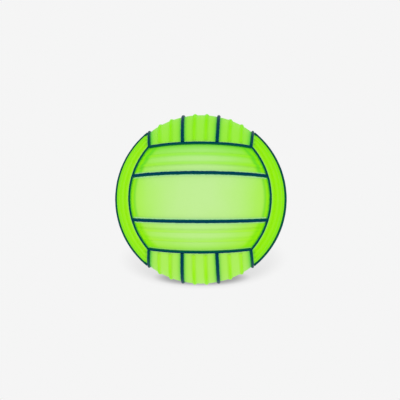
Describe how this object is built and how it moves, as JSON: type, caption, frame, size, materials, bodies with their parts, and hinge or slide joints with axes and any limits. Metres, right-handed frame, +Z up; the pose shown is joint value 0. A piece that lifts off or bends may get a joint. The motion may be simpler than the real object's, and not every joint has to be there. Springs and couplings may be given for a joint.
{
  "type": "water polo ball",
  "caption": "Round water polo ball with ribbed grip panels, raised dark seam strips, inner layers and a needle valve core that pulls out.",
  "frame": {"origin": "the centre of the ball", "axes": "+Z is up, -Y is the front with the smooth print panel, and +Y runs out of the valve's needle hole"},
  "size_m": [0.2118, 0.2088, 0.2116],
  "materials": {
    "cover": "satin",
    "seam": "satin",
    "carcass": "matte",
    "winding": "matte",
    "bladder": "satin",
    "valve": "satin",
    "valve_core": "satin"
  },
  "bodies": {
    "ball": {"front_lower_panel": "cover", "front_middle_panel": "cover", "front_upper_panel": "cover", "back_lower_panel": "cover", "back_middle_panel": "cover", "back_upper_panel": "cover", "top_left_panel": "cover", "top_middle_panel": "cover", "top_right_panel": "cover", "bottom_left_panel": "cover", "bottom_middle_panel": "cover", "bottom_right_panel": "cover", "left_front_panel": "cover", "left_middle_panel": "cover", "left_back_panel": "cover", "right_front_panel": "cover", "right_middle_panel": "cover", "right_back_panel": "cover", "front_lower_edge_seam": "seam", "front_lower_inner_seam": "seam", "front_upper_edge_seam": "seam", "front_upper_inner_seam": "seam", "back_lower_edge_seam": "seam", "back_lower_inner_seam": "seam", "back_upper_edge_seam": "seam", "back_upper_inner_seam": "seam", "top_left_edge_seam": "seam", "top_left_inner_seam": "seam", "top_right_edge_seam": "seam", "top_right_inner_seam": "seam", "bottom_left_edge_seam": "seam", "bottom_left_inner_seam": "seam", "bottom_right_edge_seam": "seam", "bottom_right_inner_seam": "seam", "left_front_edge_seam": "seam", "left_front_inner_seam": "seam", "left_back_edge_seam": "seam", "left_back_inner_seam": "seam", "right_front_edge_seam": "seam", "right_front_inner_seam": "seam", "right_back_edge_seam": "seam", "right_back_inner_seam": "seam", "carcass": "carcass", "winding": "winding", "bladder": "bladder", "valve_housing": "valve"},
    "valve_core": {"valve_core": "valve_core"}
  },
  "joints": [
    {"name": "valve_core_pull", "type": "slide", "parent": "ball", "child": "valve_core", "axis": [0, 1, 0], "range_m": [0, 0.016]}
  ]
}
